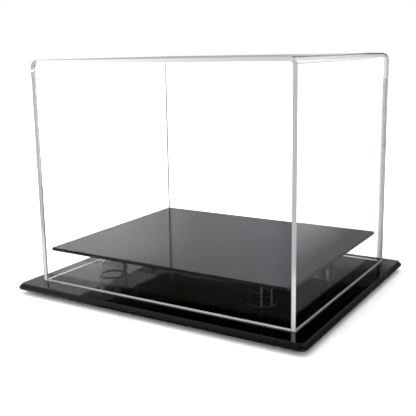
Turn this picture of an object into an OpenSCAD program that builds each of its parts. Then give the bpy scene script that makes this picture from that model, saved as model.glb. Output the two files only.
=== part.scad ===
// Hat display case: a clear cover standing on a bevelled black base,
// with a black platform on clear tubes inside it.
// Millimetres, +Z up, +X to the right of the front, front towards -Y.
// The origin is on the surface that the case stands on, under its middle.

/* [Cover] */
// Outside width of the cover
cover_w = 330; // [240:1:420]
// Outside depth of the cover
cover_d = 270; // [200:1:360]
// Height of the cover, from the base to its top
cover_h = 262; // [150:1:360]
// Thickness of the clear sheet
sheet_t = 4.5; // [3:0.5:8]
// Inside radius of the two bends along the top
bend_r = 4.5; // [1:0.5:15]
// Cement line between pieces of clear sheet, tube and platform
cement_gap = 0.1; // [0.05:0.05:0.3]
// Sanded arris along the bottom edge of the walls
wall_arris = 0.3; // [0.2:0.1:1.5]

// How far the loose cover stands behind the middle of the base
set_back = 5.5; // [0:0.5:8]
// How far it stands to the left of it
set_left = 1; // [0:0.5:8]
// Air under the loose cover and the tubes, which only stand on what is below
seat_gap = 0.1; // [0.05:0.05:0.3]

/* [Base] */
// Flat rim of the base outside a cover that stands in its middle
rim_w = 17; // [8:1:40]
// Thickness of the base plate
base_t = 7; // [5:0.5:12]
// Height of the bevel round the base
bevel_h = 4; // [1:0.5:4]
// Width of the bevel, seen from above
bevel_w = 4; // [1:0.5:12]
// Radius of the base's four corners, seen from above
corner_r = 7; // [1:0.5:16]
// Eased edge round the base's underside
under_ease = 1; // [0.2:0.1:1.5]

/* [Riser] */
// Thickness of the platform
platform_t = 4; // [3:0.5:8]
// Gap between the platform and the inside of the cover
platform_gap = 5; // [2:0.5:20]
// How far the loose riser stands behind the middle of the cover, as a share of that gap
riser_back = 0.55; // [0:0.05:0.9]
// How far it stands to the left of it, as a share of that gap
riser_left = 0.65; // [0:0.05:0.9]
// Outside diameter of the tubes
tube_od = 35; // [20:0.5:44]
// Wall of the tubes
tube_wall = 3; // [2:0.5:5]
// Length of the tubes
tube_len = 35; // [10:1:80]
// From the platform's left or right edge to a tube's axis
tube_inset_x = 53.5; // [28:0.5:70]
// From the platform's front or back edge to a tube's axis
tube_inset_y = 48.5; // [34:0.5:60]
// Eased edge of the platform
eased = 0.4; // [0.2:0.1:0.8]

/* [Feet] */
// Diameter of a bumper foot
foot_d = 13; // [8:0.5:20]
// Height of a bumper foot
foot_h = 6; // [2:0.5:10]
// Rounded-off edge of a bumper foot
foot_round = 1; // [0.2:0.1:1.5]
// From the base's outer edges to a foot's axis
foot_inset = 24; // [12:1:50]

/* [Hidden] */
$fn = 96;

clear = [0.86, 0.92, 0.95, 0.3];
gloss_black = [0.03, 0.03, 0.035];
rubber_grey = [0.15, 0.15, 0.15];

inside_w = cover_w - 2 * sheet_t;
inside_d = cover_d - 2 * sheet_t;
inside_h = cover_h - sheet_t;
base_w = cover_w + 2 * (rim_w + bevel_w);
base_d = cover_d + 2 * (rim_w + bevel_w);
platform_w = inside_w - 2 * platform_gap;
platform_d = inside_d - 2 * platform_gap;
riser_x = -set_left - riser_left * platform_gap;
riser_y = set_back + riser_back * platform_gap;
tube_x = platform_w / 2 - tube_inset_x;
tube_y = platform_d / 2 - tube_inset_y;

// Heights of the faces that the pieces stand on
base_z = foot_h;
rim_z = base_z + base_t;
seat_z = rim_z + seat_gap;
platform_z = seat_z + tube_len + cement_gap;

// Reach of a cut past the face that it opens
past = 1;

// Section of a plate, with a bevel above and an eased edge below
function slab(width, thick, run, fall, low) = let (h = width / 2) [
    [low - h, 0], [h - low, 0], [h, low], [h, thick - fall],
    [h - run, thick], [run - h, thick], [-h, thick - fall], [-h, low],
];

// Stands an upright section, drawn in X and Z, along Y about the middle
module along_y(length) {
    rotate([90, 0, 0])
        linear_extrude(length, center = true)
            children();
}

// Stands an upright section, drawn in Y and Z, along X about the middle
module along_x(length) {
    rotate([90, 0, 90])
        linear_extrude(length, center = true)
            children();
}

// Rectangular plate whose bevels meet in mitred corners
module plate(width, depth, thick, run, fall, low) {
    intersection() {
        along_y(depth)
            polygon(slab(width, thick, run, fall, low));
        along_x(width)
            polygon(slab(depth, thick, run, fall, low));
    }
}

// Upright outline with its two upper corners rounded
module arch(width, height, r) {
    translate([-width / 2, 0])
        square([width, height - r]);
    translate([r - width / 2, 0])
        square([width - 2 * r, height]);
    for (side = [-1, 1])
        translate([side * (width / 2 - r), height - r])
            circle(r);
}

// Plate whose bevel runs on round its four rounded corners
module base_plate() {
    r = max(corner_r, bevel_w + under_ease);
    color(gloss_black)
        translate([0, 0, base_z]) {
            along_y(base_d - 2 * r)
                polygon(slab(base_w, base_t, bevel_w, bevel_h, under_ease));
            along_x(base_w - 2 * r)
                polygon(slab(base_d, base_t, bevel_w, bevel_h, under_ease));
            for (quarter = [0:3])
                translate([
                    (quarter == 0 || quarter == 3 ? 1 : -1) * (base_w / 2 - r),
                    (quarter < 2 ? 1 : -1) * (base_d / 2 - r), 0,
                ])
                    rotate([0, 0, 90 * quarter])
                        rotate_extrude(angle = 90)
                            polygon([
                                [0, 0], [r - under_ease, 0], [r, under_ease],
                                [r, base_t - bevel_h], [r - bevel_w, base_t], [0, base_t],
                            ]);
        }
}

// Self-adhesive bumper under one corner of the base
module foot(side, end) {
    r = foot_d / 2;
    color(rubber_grey)
        translate([side * (base_w / 2 - foot_inset), end * (base_d / 2 - foot_inset), 0])
            rotate_extrude()
                polygon([[0, 0], [r - foot_round, 0], [r, foot_round], [r, foot_h], [0, foot_h]]);
}

// Left wall, top and right wall, bent from one sheet
module cover_wrap() {
    color(clear)
        translate([-set_left, set_back, seat_z])
            along_y(cover_d)
                difference() {
                    arch(cover_w, cover_h, bend_r + sheet_t);
                    translate([0, -past])
                        arch(inside_w, inside_h + past, bend_r);
                    for (side = [-1, 1])
                        translate([side * cover_w / 2, 0])
                            polygon([[0, -past], [0, wall_arris], [-side * (wall_arris + past), -past]]);
                }
}

// Front (end = -1) or back (end = 1) wall, cemented between the bends
module end_panel(end) {
    outer_y = end * cover_d / 2;
    inner_y = end * inside_d / 2;
    color(clear)
        translate([-set_left, set_back, seat_z])
            intersection() {
                along_y(cover_d)
                    arch(inside_w - 2 * cement_gap, inside_h - cement_gap, bend_r);
                along_x(inside_w)
                    polygon([
                        [inner_y, 0], [outer_y - end * wall_arris, 0],
                        [outer_y, wall_arris], [outer_y, inside_h], [inner_y, inside_h],
                    ]);
            }
}

module platform() {
    color(gloss_black)
        translate([riser_x, riser_y, platform_z])
            plate(platform_w, platform_d, platform_t, eased, eased, eased);
}

// Clear tube cemented under one corner of the platform
module tube(side, end) {
    color(clear)
        translate([riser_x + side * tube_x, riser_y + end * tube_y, seat_z])
            difference() {
                cylinder(d = tube_od, h = tube_len);
                translate([0, 0, -past])
                    cylinder(d = tube_od - 2 * tube_wall, h = tube_len + 2 * past);
            }
}

base_plate();
foot(-1, -1);  // foot_front_left
foot(1, -1);  // foot_front_right
foot(-1, 1);  // foot_back_left
foot(1, 1);  // foot_back_right
cover_wrap();
end_panel(-1);  // cover_front_panel
end_panel(1);  // cover_back_panel
platform();
tube(-1, -1);  // tube_front_left
tube(1, -1);  // tube_front_right
tube(-1, 1);  // tube_back_left
tube(1, 1);  // tube_back_right
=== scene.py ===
import math

import bpy
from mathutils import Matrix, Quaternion, Vector


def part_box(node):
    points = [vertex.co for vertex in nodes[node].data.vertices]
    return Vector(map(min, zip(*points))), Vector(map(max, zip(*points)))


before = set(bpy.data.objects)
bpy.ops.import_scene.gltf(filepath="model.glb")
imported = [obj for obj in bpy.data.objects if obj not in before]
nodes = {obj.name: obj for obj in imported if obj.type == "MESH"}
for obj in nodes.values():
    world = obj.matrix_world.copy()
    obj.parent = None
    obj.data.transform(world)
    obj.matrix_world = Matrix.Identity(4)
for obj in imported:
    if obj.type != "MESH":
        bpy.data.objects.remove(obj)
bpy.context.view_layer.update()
scene = bpy.context.scene
mm = 0.001
smooth = {"interpolation_type": "SMOOTHSTEP"}  # for a soft edge
print("frame loaded:", len(nodes), "nodes")


def linearColour(hexValue):  # sRGB hex to the linear colour that a socket takes
    channels = [int(hexValue[i:i + 2], 16) / 255 for i in (1, 3, 5)]
    return [c / 12.92 if c <= 0.04045 else ((c + 0.055) / 1.055) ** 2.4 for c in channels] + [1.0]


def addNode(tree, kind, inputs=(), **settings):  # inputs by name, or in the order of the sockets in use
    node = tree.nodes.new("ShaderNode" + kind)
    for name, value in settings.items():
        setattr(node, name, value)
    if isinstance(inputs, dict):
        pairs = [(node.inputs[name], value) for name, value in inputs.items()]
    else:
        pairs = zip([socket for socket in node.inputs if socket.enabled], inputs)
    for socket, value in pairs:
        if isinstance(value, bpy.types.Node):  # a node stands for the first of its outputs in use
            value = next(output for output in value.outputs if output.enabled)
        if isinstance(value, bpy.types.NodeSocket):
            tree.links.new(value, socket)
        else:
            socket.default_value = value
    return node


def setStops(ramp, stops):  # each stop: position from 0 to 1, linear colour
    elements = ramp.color_ramp.elements
    for i, (position, colour) in enumerate(stops):
        element = elements[i] if i < 2 else elements.new(position)  # a new ramp has two stops
        element.position = position
        element.color = colour


def newMaterial(name):
    material = bpy.data.materials.new(name)
    material.use_nodes = True
    material.node_tree.nodes.clear()
    return material, material.node_tree


def dress(material, *names):  # puts a finish on CAD nodes
    for name in names:
        nodes[name].data.materials.clear()
        nodes[name].data.materials.append(material)


# Camera at the photograph's view
cameraValues = {
    "place": (0.4267, -0.7219, 0.2802),  # metres
    "turn": 32.46,  # degrees round to the right of the front
    "tilt": 11.22,  # degrees down
    "roll": -1.16,  # degrees
    "lens": 60.96,  # mm
    "shiftX": 0.0366,
    "shiftY": -0.0386,
}
turn, tilt, roll = (math.radians(cameraValues[key]) for key in ("turn", "tilt", "roll"))
look = Vector((-math.sin(turn) * math.cos(tilt), math.cos(turn) * math.cos(tilt), -math.sin(tilt)))
camera = bpy.data.objects.new("camera", bpy.data.cameras.new("camera"))
camera.data.lens = cameraValues["lens"]
camera.data.shift_x = cameraValues["shiftX"]
camera.data.shift_y = cameraValues["shiftY"]
camera.location = cameraValues["place"]
camera.rotation_mode = "QUATERNION"
camera.rotation_quaternion = look.to_track_quat("-Z", "Y") @ Quaternion((0, 0, 1), roll)
scene.collection.objects.link(camera)
scene.camera = camera
print("camera set")


# Studio: white paper that shows white to the eye, and other levels in reflections and to dull surfaces
studioValues = {
    "bounces": 128,  # light runs a long way inside a clear sheet
    "ledLight": 0.62,  # what reaches the end of a sheet from inside
}
scene.view_settings.view_transform = "Standard"
scene.cycles.max_bounces = studioValues["bounces"]
scene.cycles.glossy_bounces = studioValues["bounces"]
scene.cycles.transmission_bounces = studioValues["bounces"]


def lightPath(tree):  # masks for the ways that light takes; depths are whole, so limits lie half a step off
    path = addNode(tree, "LightPath").outputs
    glossy, diffuse = path["Glossy Depth"], path["Diffuse Depth"]
    turned = addNode(tree, "Math", [glossy, diffuse], operation="ADD")
    once = addNode(tree, "Math", [glossy, 1.0, 0.5], operation="COMPARE")
    often = addNode(tree, "Math", [glossy, 2.5], operation="GREATER_THAN")
    inAndOut = addNode(tree, "Math", [path["Transmission Depth"], 2.0, 0.5], operation="COMPARE")
    return {
        "straight": path["Is Camera Ray"],
        "seen": addNode(tree, "Math", [turned, 0.5], operation="LESS_THAN"),  # straight or through sheets
        "spread": addNode(tree, "Math", [diffuse, 0.5], operation="GREATER_THAN"),  # off a dull surface
        "once": addNode(tree, "Math", [once, inAndOut], operation="MULTIPLY"),  # mirrored inside one sheet
        "often": addNode(tree, "Math", [often, inAndOut], operation="MULTIPLY"),  # led along inside it
    }


# Backdrop: a sweep that is brightest at the left, with a dark room behind the camera
backdropValues = {
    "seenThrough": 2.4,  # over-exposed through the clear sheets
    "sweep": ((-1.0, 0.68), (0.11, 0.66), (0.14, 0.5), (0.21, 0.3), (0.25, 0.28), (0.29, 0.7), (0.6, 0.6),
              (0.72, 0.06), (1.0, 0.03)),  # level in a reflection, by side: -1 is left, 1 is right
    "glow": 0.54,  # brighter patch low at the left
    "glowSide": (0.02, -0.12),
    "glowHeight": (0.272, 0.3),  # heights are sines over the floor
    "dim": ((-1.0, 1.0), (0.17, 1.0), (0.2, 0.25), (0.27, 0.25), (0.29, 1.0), (1.0, 1.0)),  # darker patch
    "dimHeight": (0.285, 0.305),
    "doorway": 0.02,  # dark opening at the far right, under a sloping line
    "doorSide": (0.28, 0.3),
    "doorSlope": -0.5,
    "doorHeight": (0.1, 0.07),
    "room": 0.01,  # behind the camera
    "roomEdge": (-0.35, 0.35),  # cosine from the backdrop's middle where the sweep fades into the room
    "overhead": 0.9,  # ceiling
    "overheadEdge": (0.35, 0.75),
    "horizon": ((-1.0, 0.45), (0.13, 0.45), (0.17, 0.7), (0.232, 0.7), (0.242, 0.1), (0.27, 0.1),
                (0.28, 0.75), (1.0, 0.75)),  # far paper low over the floor, by side
    "horizonHeight": (0.14, 0.2),
    "onceLight": 0.95,  # what is mirrored once inside a sheet
    "sideLight": 0.6,  # soft light is stronger from the left
    "cool": (1.0, 0.978, 1.09, 1.0),  # tint of the reflections to the right
    "coolSide": (-0.05, 0.15),
}
white = (1.0, 1.0, 1.0, 1.0)
backwards = (-math.sin(turn), math.cos(turn), 0)  # from the camera to the backdrop, level
rightwards = (math.cos(turn), math.sin(turn), 0)
world = bpy.data.worlds.new("studio")
scene.world = world
world.use_nodes = True
world.cycles.sampling_method = "NONE"  # every ray type meets the backdrop by itself
tree = world.node_tree
tree.nodes.clear()
masks = lightPath(tree)
direction = addNode(tree, "TexCoord").outputs["Generated"]
facing = addNode(tree, "VectorMath", [direction, backwards], operation="DOT_PRODUCT")
side = addNode(tree, "VectorMath", [direction, rightwards], operation="DOT_PRODUCT")
height = addNode(tree, "SeparateXYZ", [direction]).outputs["Z"]
along = addNode(tree, "Math", [side, 0.5, 0.5], operation="MULTIPLY_ADD")  # side, from 0 to 1
sides = {}
for key in ("sweep", "dim", "horizon"):  # levels that change from side to side
    sides[key] = addNode(tree, "ValToRGB", [along])
    stops = [((where + 1) / 2, (light, light, light, 1.0)) for where, light in backdropValues[key]]
    setStops(sides[key], stops)

# Sweep with its patches
low = addNode(tree, "MapRange", [
    height, *backdropValues["glowHeight"], backdropValues["glow"], 0.0], **smooth)
glow = addNode(tree, "MapRange", [side, *backdropValues["glowSide"], 0.0, low], **smooth)
lit = addNode(tree, "Math", [sides["sweep"], glow], operation="ADD")
high = addNode(tree, "MapRange", [height, *backdropValues["dimHeight"]], **smooth)
dim = addNode(tree, "Mix", [high, 1.0, sides["dim"]])
lit = addNode(tree, "Math", [lit, dim], operation="MULTIPLY")
under = addNode(tree, "Math", [side, backdropValues["doorSlope"], height], operation="MULTIPLY_ADD")
under = addNode(tree, "MapRange", [
    under, *backdropValues["doorHeight"], 1.0, backdropValues["doorway"]], **smooth)
door = addNode(tree, "MapRange", [side, *backdropValues["doorSide"], 1.0, under], **smooth)
lit = addNode(tree, "Math", [lit, door], operation="MULTIPLY")

# Room, ceiling and horizon round it
sweep = addNode(tree, "MapRange", [
    facing, *backdropValues["roomEdge"], backdropValues["room"], lit], **smooth)
ceiling = addNode(tree, "MapRange", [
    height, *backdropValues["overheadEdge"], 1.0, backdropValues["overhead"]], **smooth)
level = addNode(tree, "Math", [sweep, ceiling], operation="MULTIPLY")
horizon = addNode(tree, "MapRange", [height, *backdropValues["horizonHeight"], 1.0, 0.0], **smooth)
level = addNode(tree, "Mix", [horizon, level, sides["horizon"]])

# Level for each way that light takes
dome = addNode(tree, "Math", [side, -backdropValues["sideLight"], 1.0], operation="MULTIPLY_ADD")
lights = (("often", studioValues["ledLight"]), ("once", backdropValues["onceLight"]), ("spread", dome),
          ("seen", backdropValues["seenThrough"]), ("straight", 1.0))
for mask, light in lights:
    level = addNode(tree, "Mix", [masks[mask], level, light])
led = addNode(tree, "Math", [masks["once"], masks["often"]], operation="ADD")
plain = addNode(tree, "Math", [masks["seen"], masks["spread"]], operation="MAXIMUM")
plain = addNode(tree, "Math", [plain, led], operation="MAXIMUM")
cool = addNode(tree, "MapRange", [side, *backdropValues["coolSide"]])
cool = addNode(tree, "Mix", [plain, cool, 0.0])
tint = addNode(tree, "Mix", [cool, white, backdropValues["cool"]], data_type="RGBA")
shade = addNode(tree, "Background", [tint, level])
addNode(tree, "OutputWorld", [shade])
print("backdrop set")


# Floor: matt white paper, with zones that only reflections show
floorValues = {
    "size": 12.0,  # metres
    "paper": 0.975,  # what the floor gives back to the object
    "seenPaper": 1.7,  # as an over-exposed floor shows to the eye
    "seenThrough": 2.4,  # and through the clear sheets
    "mirroredPaper": "#443f37",  # in a reflection, in front of the case
    "mirroredRight": 0.2,
    "rightEdge": (0.12, 0.2),  # metres along X
    "mirroredFar": 0.9,  # paper far out at the right
    "farEdge": (0.2, 0.4),  # metres along X
    "farLine": (1.0, -0.7, 0.0),
    "farSlant": (-0.1, 0.1),  # metres along that line
    "mirroredLeft": (0.4, 0.95),  # paper at the left of the front, in its right part and its left part
    "leftEdge": (-0.076, -0.084),  # metres along X
    "leftReach": (-0.247, -0.239),  # metres along Y
    "leftLine": (1.0, -0.6, 0.0),
    "leftSlant": (0.0, -0.03),  # metres along that line
    "mirroredBack": 0.95,
    "backSide": (0.4, 0.1),  # metres along X
    "backEdge": (0.2, 0.5),  # metres along Y
}
bpy.ops.mesh.primitive_plane_add(size=floorValues["size"])
floor = bpy.context.object
floor.name = "studio_floor"
material, tree = newMaterial("matt white paper sweep")
masks = lightPath(tree)
place = addNode(tree, "TexCoord").outputs["Object"]
axes = addNode(tree, "SeparateXYZ", [place]).outputs
slants = {key: addNode(tree, "VectorMath", [place, floorValues[key]], operation="DOT_PRODUCT")
          for key in ("farLine", "leftLine")}
right = addNode(tree, "MapRange", [
    axes["X"], *floorValues["rightEdge"], 0.0, floorValues["mirroredRight"]], **smooth)
far = addNode(tree, "MapRange", [
    slants["farLine"], *floorValues["farSlant"], 0.0, floorValues["mirroredFar"]], **smooth)
far = addNode(tree, "MapRange", [axes["X"], *floorValues["farEdge"], 0.0, far], **smooth)
left = addNode(tree, "MapRange", [
    slants["leftLine"], *floorValues["leftSlant"], *floorValues["mirroredLeft"]], **smooth)
left = addNode(tree, "MapRange", [axes["X"], *floorValues["leftEdge"], 0.0, left], **smooth)
left = addNode(tree, "MapRange", [axes["Y"], *floorValues["leftReach"], 0.0, left], **smooth)
behind = addNode(tree, "MapRange", [
    axes["X"], *floorValues["backSide"], 0.0, floorValues["mirroredBack"]], **smooth)
behind = addNode(tree, "MapRange", [axes["Y"], *floorValues["backEdge"], 0.0, behind], **smooth)
lit = right
for zone in (far, left, behind):
    lit = addNode(tree, "Math", [lit, zone], operation="MAXIMUM")
level = addNode(tree, "Mix", [1.0, linearColour(floorValues["mirroredPaper"]), lit], data_type="RGBA",
                blend_type="LIGHTEN")
lights = (("often", studioValues["ledLight"]), ("spread", floorValues["paper"]),
          ("seen", floorValues["seenThrough"]), ("straight", floorValues["seenPaper"]))
for mask, light in lights:
    level = addNode(tree, "Mix", [masks[mask], level, (light, light, light, 1.0)], data_type="RGBA")
paper = addNode(tree, "BsdfDiffuse", [level])
addNode(tree, "OutputMaterial", [paper])
floor.data.materials.append(material)
print("floor set")


# Black acrylic: a deep mirror with faint wiping marks and a few specks of dust, satin on the milled edges
blackValues = {
    "colour": "#030304",
    "ior": 1.49,
    "roughness": 0.02,
    "smear": 0.03,  # roughness added by wiping
    "smearSize": 45,  # mm
    "smearDetail": 6.0,
    "smearFine": 0.65,
    "smearEdge": (0.35, 0.75),
    "dust": "#6c6c70",
    "dustGap": 9,  # mm
    "dustSize": 0.25,  # mm
    "levelFace": 0.9,  # a face that is less level than this is a milled edge
    "edgeRoughness": 0.25,
    "rightPaintedLight": 3.0,  # painted light: the milled edges facing right are made lighter
    "rightFace": (0.2, 0.6),
    # painted reflections and shade on the base's milled edges: lighter at the bevel's top and on the upright
    # face, where they mirror the floor, dark at the arris between them and at the bottom
    "bevelPaintedTones": ((6.0, "#020202"), (7.0, "#060607"), (7.2, "#161618"), (8.6, "#161618"), (8.8, "#020202"),
                   (9.6, "#040405"), (11.5, "#101012"), (13.0, "#1e1e20")),  # height in mm, colour
    "sawnTones": ((48.2, "#292a2d"), (52.2, "#292a2d")),
}


def blackAcrylic(name, edgeTones):
    material, tree = newMaterial(name)
    place = addNode(tree, "TexCoord").outputs["Object"]
    normal = addNode(tree, "NewGeometry").outputs["True Normal"]
    height = addNode(tree, "SeparateXYZ", [place]).outputs["Z"]
    facing = addNode(tree, "SeparateXYZ", [normal]).outputs
    smear = addNode(tree, "TexNoise", {
        "Vector": place, "Scale": 1 / (blackValues["smearSize"] * mm), "Detail": blackValues["smearDetail"],
        "Roughness": blackValues["smearFine"]})
    wiped = blackValues["roughness"] + blackValues["smear"]
    shine = addNode(tree, "MapRange", [smear, *blackValues["smearEdge"], blackValues["roughness"], wiped])
    specks = addNode(tree, "TexVoronoi", {"Vector": place, "Scale": 1 / (blackValues["dustGap"] * mm)})
    speckSize = blackValues["dustSize"] / blackValues["dustGap"]
    dust = addNode(tree, "Math", [specks, speckSize], operation="LESS_THAN")
    colours = [linearColour(blackValues[key]) for key in ("colour", "dust")]
    colour = addNode(tree, "Mix", [dust, *colours], data_type="RGBA")

    # Milled edges, with painted reflections and shade toned by height
    level = addNode(tree, "Math", [facing["Z"]], operation="ABSOLUTE")
    milled = addNode(tree, "Math", [level, blackValues["levelFace"]], operation="LESS_THAN")
    bottom, top = edgeTones[0][0], edgeTones[-1][0]
    edge = addNode(tree, "ValToRGB", [addNode(tree, "MapRange", [height, bottom * mm, top * mm])])
    setStops(edge, [((where - bottom) / (top - bottom), linearColour(tone)) for where, tone in edgeTones])
    # painted light: milled faces that point to the right are scaled lighter
    lift = addNode(tree, "MapRange", [facing["X"], *blackValues["rightFace"], 1.0, blackValues["rightPaintedLight"]])
    edge = addNode(tree, "VectorMath", [edge, lift], operation="SCALE")
    colour = addNode(tree, "Mix", [milled, colour, edge], data_type="RGBA")
    shine = addNode(tree, "Mix", [milled, shine, blackValues["edgeRoughness"]])
    shader = addNode(tree, "BsdfPrincipled", {
        "Base Color": colour, "Roughness": shine, "IOR": blackValues["ior"]})
    addNode(tree, "OutputMaterial", [shader])
    return material


dress(blackAcrylic("polished black acrylic, bevelled", blackValues["bevelPaintedTones"]), "base_plate")
dress(blackAcrylic("polished black acrylic, saw-cut", blackValues["sawnTones"]), "platform")
print("black acrylic dressed")


# Clear acrylic: polished faces that hardly show, so that the eye sees the sheet by its edges
clearValues = {
    "colour": "#fdfefe",
    "ior": 1.49,
    "frost": "#fafafa",  # the outsides are frosted along the bottom
    "frostRoughness": 0.8,
    "frostHeight": 1.0,  # mm
    "frostFace": 0.3,  # how far outwards such a face has to point
}
wrapLow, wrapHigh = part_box("cover_wrap")
panelLow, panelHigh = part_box("cover_front_panel")
wrapMiddle = (wrapLow + wrapHigh) / 2
clearColour = linearColour(clearValues["colour"])


def clearAcrylic(name):  # an empty material, the place on the piece and the way its faces point
    material, tree = newMaterial(name)
    place = addNode(tree, "TexCoord").outputs["Object"]
    normal = addNode(tree, "NewGeometry").outputs["True Normal"]
    axes, facing = (addNode(tree, "SeparateXYZ", [vector]).outputs for vector in (place, normal))
    return material, tree, axes, facing


def frostSheet(tree, outwards, low, colour, clear):  # a sheet's shader, frosted low on the outsides
    outer = addNode(tree, "Math", [outwards, clearValues["frostFace"]], operation="GREATER_THAN")
    frost = addNode(tree, "Math", [low, outer], operation="MULTIPLY")
    colour = addNode(tree, "Mix", [frost, colour, linearColour(clearValues["frost"])], data_type="RGBA")
    shader = addNode(tree, "BsdfPrincipled", {
        "Base Color": colour, "IOR": clearValues["ior"],
        "Roughness": addNode(tree, "Mix", [frost, 0.0, clearValues["frostRoughness"]]),
        "Transmission Weight": addNode(tree, "Mix", [frost, clear, 0.0])})
    addNode(tree, "OutputMaterial", [shader])


# Bent sheet: sawn ends that glow with the light led along inside, and a thin line of painted shade along
# their arris
bentValues = {
    "bend": 9.0,  # outer radius of the bends, mm
    "end": "#c3c4c6",
    "endFace": 0.9,  # how far to the front or back an end has to point
    "endLow": "#f4f4f4",  # light gathers in the lowest part of the ends
    "endLowHeight": (70, 45),  # mm
    "endTop": ("#ffffff", "#c8c8cb"),  # and in the top's end, more so at the left
    "endTopFade": 2,  # mm
    "endShadeLine": "#a2a3a7",  # painted shade: a darker line along the ends' arris
    "endShadeLineWidth": 1.0,  # mm
    "endClear": (0.25, 0.75),  # how clear the ends are in front and behind
    "glint": (13.4, 10.8),  # light spot under the left bend, mm below the top
    "frostRight": 1.3,  # mm, frosted higher at the right
}


def bentSheet():
    material, tree, axes, facing = clearAcrylic("bent clear acrylic sheet")
    sheet = panelHigh.y - panelLow.y
    bend = bentValues["bend"] * mm
    half = (wrapHigh - wrapLow) / 2
    rightHalf = addNode(tree, "Math", [axes["X"], wrapMiddle.x], operation="GREATER_THAN")
    backHalf = addNode(tree, "Math", [axes["Y"], wrapMiddle.y], operation="GREATER_THAN")

    # Depth in the sheet from its middle, followed round the bends
    aside = addNode(tree, "Math", [axes["X"], wrapMiddle.x], operation="SUBTRACT")
    outwards = addNode(tree, "Math", [facing["X"], addNode(tree, "Math", [aside], operation="SIGN")],
                       operation="MULTIPLY")
    aside = addNode(tree, "Math", [aside], operation="ABSOLUTE")
    across = addNode(tree, "Math", [aside, half.x - bend], operation="SUBTRACT")
    above = addNode(tree, "Math", [axes["Z"], wrapHigh.z - bend], operation="SUBTRACT")
    corner = addNode(tree, "CombineXYZ", [addNode(tree, "Math", [way, 0.0], operation="MAXIMUM")
                                          for way in (across, above)])
    reach = addNode(tree, "VectorMath", [corner], operation="LENGTH")
    inner = addNode(tree, "Math", [across, above], operation="MAXIMUM")
    inner = addNode(tree, "Math", [inner, 0.0], operation="MINIMUM")
    depth = addNode(tree, "Math", [reach, inner], operation="ADD")
    depth = addNode(tree, "Math", [depth, bend - sheet / 2], operation="SUBTRACT")

    # Arris, where the painted shade line lies: at the left of the uprights and on top
    wall = addNode(tree, "Math", [across, above], operation="GREATER_THAN")
    wall = addNode(tree, "Math", [rightHalf, wall], operation="MULTIPLY")
    depth = addNode(tree, "Math", [depth, addNode(tree, "Mix", [wall, 1.0, -1.0])], operation="MULTIPLY")
    lineStart = sheet / 2 - bentValues["endShadeLineWidth"] * mm
    line = addNode(tree, "MapRange", [depth, lineStart, sheet / 2], **smooth)

    # Tones of the ends
    lowEdge = [wrapLow.z + up * mm for up in bentValues["endLowHeight"]]
    bottom = addNode(tree, "MapRange", [axes["Z"], *lowEdge], **smooth)
    tones = [linearColour(bentValues[key]) for key in ("end", "endLow")]
    dull = addNode(tree, "Mix", [bottom, *tones], data_type="RGBA")
    inward = addNode(tree, "Mix", [rightHalf, 0.0, bend - sheet])
    inward = addNode(tree, "Math", [inward, across], operation="SUBTRACT")
    fade = bentValues["endTopFade"] * mm
    top = addNode(tree, "MapRange", [inward, -fade, fade], **smooth)
    slope = addNode(tree, "MapRange", [axes["X"], wrapLow.x, wrapHigh.x], **smooth)
    tones = [linearColour(tone) for tone in bentValues["endTop"]]
    upper = addNode(tree, "Mix", [slope, *tones], data_type="RGBA")
    dull = addNode(tree, "Mix", [top, dull, upper], data_type="RGBA")
    # painted shade line along the arris
    dull = addNode(tree, "Mix", [line, dull, linearColour(bentValues["endShadeLine"])], data_type="RGBA")
    glintLow, glintHigh = (wrapHigh.z - down * mm for down in bentValues["glint"])
    glint = addNode(tree, "Math", [axes["Z"], glintLow], operation="GREATER_THAN")
    for value, limit in ((axes["Z"], glintHigh), (axes["X"], wrapMiddle.x)):
        under = addNode(tree, "Math", [value, limit], operation="LESS_THAN")
        glint = addNode(tree, "Math", [glint, under], operation="MULTIPLY")
    dull = addNode(tree, "Mix", [glint, dull, white], data_type="RGBA")

    # Ends and frost on the sheet
    frontClear, backClear = bentValues["endClear"]
    opaque = addNode(tree, "Math", [top, glint], operation="MAXIMUM")
    share = addNode(tree, "Mix", [opaque, frontClear, 0.0])
    share = addNode(tree, "Mix", [backHalf, share, backClear])
    end = addNode(tree, "Math", [facing["Y"]], operation="ABSOLUTE")
    end = addNode(tree, "Math", [end, bentValues["endFace"]], operation="GREATER_THAN")
    colour = addNode(tree, "Mix", [end, clearColour, dull], data_type="RGBA")
    clear = addNode(tree, "Mix", [end, 1.0, share])
    frostTops = [wrapLow.z + up * mm for up in (clearValues["frostHeight"], bentValues["frostRight"])]
    frostTop = addNode(tree, "Mix", [rightHalf, *frostTops])
    low = addNode(tree, "Math", [axes["Z"], frostTop], operation="LESS_THAN")
    frostSheet(tree, outwards, low, colour, clear)
    return material


dress(bentSheet(), "cover_wrap")
print("bent sheet dressed")


# Flat panels: cemented ends, opaque white low down as painted light, and squeezed-out cement at the back
# panel's ends
panelValues = {
    "joint": "#f8f8f8",
    "jointFace": 0.5,  # an end points less than this to the front or back
    "jointDown": -0.3,  # and no further down than this
    "jointClear": 0.6,
    "jointPaintedLight": (107, 157),  # mm up the wall, below which the cemented ends are opaque white as painted light
    "seam": "#98999c",
    "seamWidth": 6.0,  # mm
    "seamLeft": 0.45,  # share of it at the left end
}


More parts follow.
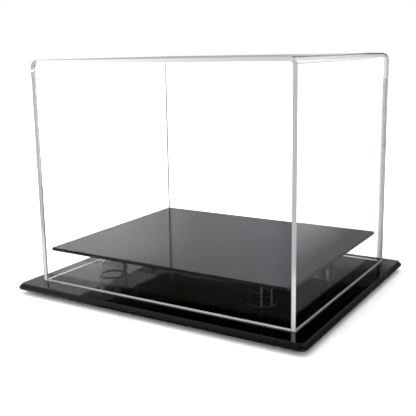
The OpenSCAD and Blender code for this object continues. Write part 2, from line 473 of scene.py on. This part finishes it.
def flatPanel():
    material, tree, axes, facing = clearAcrylic("flat clear acrylic sheet")
    panelMiddle = (panelLow + panelHigh) / 2
    rightHalf = addNode(tree, "Math", [axes["X"], wrapMiddle.x], operation="GREATER_THAN")
    backHalf = addNode(tree, "Math", [axes["Y"], wrapMiddle.y], operation="GREATER_THAN")
    aside = addNode(tree, "Math", [axes["Y"], wrapMiddle.y], operation="SUBTRACT")
    outwards = addNode(tree, "Math", [facing["Y"], addNode(tree, "Math", [aside], operation="SIGN")],
                       operation="MULTIPLY")

    # Squeezed-out cement
    inset = addNode(tree, "Math", [axes["X"], panelMiddle.x], operation="SUBTRACT")
    inset = addNode(tree, "Math", [inset], operation="ABSOLUTE")
    inset = addNode(tree, "Math", [panelHigh.x - panelMiddle.x, inset], operation="SUBTRACT")
    width = panelValues["seamWidth"] * mm
    seam = addNode(tree, "MapRange", [inset, width, width / 2], **smooth)
    seam = addNode(tree, "Math", [backHalf, seam], operation="MULTIPLY")
    seam = addNode(tree, "Math", [seam, addNode(tree, "Mix", [rightHalf, panelValues["seamLeft"], 1.0])],
                   operation="MULTIPLY")
    colour = addNode(tree, "Mix", [seam, clearColour, linearColour(panelValues["seam"])], data_type="RGBA")

    # Cemented ends, opaque white low down as painted light
    level = addNode(tree, "Math", [facing["Y"]], operation="ABSOLUTE")
    level = addNode(tree, "Math", [level, panelValues["jointFace"]], operation="LESS_THAN")
    end = addNode(tree, "Math", [facing["Z"], panelValues["jointDown"]], operation="GREATER_THAN")
    end = addNode(tree, "Math", [level, end], operation="MULTIPLY")
    paintedLightEdge = [wrapLow.z + up * mm for up in panelValues["jointPaintedLight"]]
    share = addNode(tree, "MapRange", [axes["Z"], *paintedLightEdge], **smooth)
    share = addNode(tree, "Math", [share, panelValues["jointClear"]], operation="MULTIPLY")
    colour = addNode(tree, "Mix", [end, colour, linearColour(panelValues["joint"])], data_type="RGBA")
    clear = addNode(tree, "Mix", [end, 1.0, share])
    frostTop = wrapLow.z + clearValues["frostHeight"] * mm
    low = addNode(tree, "Math", [axes["Z"], frostTop], operation="LESS_THAN")
    frostSheet(tree, outwards, low, colour, clear)
    return material


dress(flatPanel(), "cover_front_panel", "cover_back_panel")
print("panels dressed")


# Extruded tube: clear wall with a few streaks of painted highlight, ground dull at its ends, which show as
# dark rings
tubeValues = {
    "end": "#525255",
    "endFace": 0.9,  # how level an end face has to be
    "endHeight": 0.9,  # mm up to which the foot is ground
    "draw": "#c4c9f4",  # painted highlight streaks, on the front tubes
    "highlightClear": 0.7,
    "highlightStreaks": 9,  # round a tube
    "highlightFirst": 63,  # degrees outwards from the X axis, where one of them lies
    "highlightEdge": (0.88, 0.97),  # cosines between which a line fades in
    "drawMiddle": 43,  # degrees from that axis, round which they show
    "highlightSpan": 0.9,  # cosine from there
}


def highlightedTube():
    material, tree, axes, facing = clearAcrylic("clear extruded acrylic tube")
    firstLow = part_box("tube_front_left")[0]
    lastLow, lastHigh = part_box("tube_back_right")
    middle = (firstLow + lastHigh) / 2
    spot = (lastLow + lastHigh) / 2 - middle  # a tube's axis from the middle of the four

    # Angle round the tube's axis, mirrored to all four
    aways = []
    for axis, centre, reach in (("Y", middle.y, spot.y), ("X", middle.x, spot.x)):
        away = addNode(tree, "Math", [axes[axis], centre], operation="SUBTRACT")
        away = addNode(tree, "Math", [away], operation="ABSOLUTE")
        aways.append(addNode(tree, "Math", [away, reach], operation="SUBTRACT"))
    angle = addNode(tree, "Math", aways, operation="ARCTAN2")

    # Painted highlight streaks on the front tubes, round one angle
    phase = -math.radians(tubeValues["highlightFirst"]) * tubeValues["highlightStreaks"]
    wave = addNode(tree, "Math", [angle, tubeValues["highlightStreaks"], phase], operation="MULTIPLY_ADD")
    wave = addNode(tree, "Math", [wave], operation="COSINE")
    highlighted = addNode(tree, "MapRange", [wave, *tubeValues["highlightEdge"]], **smooth)
    near = addNode(tree, "Math", [angle, math.radians(tubeValues["drawMiddle"])], operation="SUBTRACT")
    near = addNode(tree, "Math", [near], operation="COSINE")
    near = addNode(tree, "Math", [near, tubeValues["highlightSpan"]], operation="GREATER_THAN")
    front = addNode(tree, "Math", [axes["Y"], middle.y], operation="LESS_THAN")
    for mask in (near, front):
        highlighted = addNode(tree, "Math", [highlighted, mask], operation="MULTIPLY")
    colour = addNode(tree, "Mix", [highlighted, clearColour, linearColour(tubeValues["draw"])], data_type="RGBA")
    clear = addNode(tree, "Mix", [highlighted, 1.0, tubeValues["highlightClear"]])

    # Ground ends
    level = addNode(tree, "Math", [facing["Z"]], operation="ABSOLUTE")
    level = addNode(tree, "Math", [level, tubeValues["endFace"]], operation="GREATER_THAN")
    groundTop = firstLow.z + tubeValues["endHeight"] * mm
    foot = addNode(tree, "Math", [axes["Z"], groundTop], operation="LESS_THAN")
    end = addNode(tree, "Math", [level, foot], operation="MAXIMUM")
    colour = addNode(tree, "Mix", [end, colour, linearColour(tubeValues["end"])], data_type="RGBA")
    clear = addNode(tree, "Mix", [end, clear, 0.0])
    shader = addNode(tree, "BsdfPrincipled", {
        "Base Color": colour, "Roughness": 0.0, "IOR": clearValues["ior"], "Transmission Weight": clear})
    addNode(tree, "OutputMaterial", [shader])
    return material


dress(highlightedTube(), *[name for name in nodes if name.startswith("tube_")])
print("tubes dressed")


# Bumper rubber: dull black with a faint moulded skin
rubberValues = {
    "colour": "#141415",
    "roughness": (0.65, 0.85),
    "grain": 0.4,  # mm
    "bump": 0.3,
    "bumpDepth": 0.05,  # mm
}
material, tree = newMaterial("moulded bumper rubber")
place = addNode(tree, "TexCoord").outputs["Object"]
grain = addNode(tree, "TexNoise", {"Vector": place, "Scale": 1 / (rubberValues["grain"] * mm)})
skin = addNode(tree, "Bump", {
    "Height": grain, "Strength": rubberValues["bump"], "Distance": rubberValues["bumpDepth"] * mm})
shine = addNode(tree, "MapRange", {
    "Value": grain, "To Min": rubberValues["roughness"][0], "To Max": rubberValues["roughness"][1]})
shader = addNode(tree, "BsdfPrincipled", {
    "Base Color": linearColour(rubberValues["colour"]), "Roughness": shine, "Normal": skin})
addNode(tree, "OutputMaterial", [shader])
dress(material, *[name for name in nodes if name.startswith("foot_")])
print("rubber dressed")
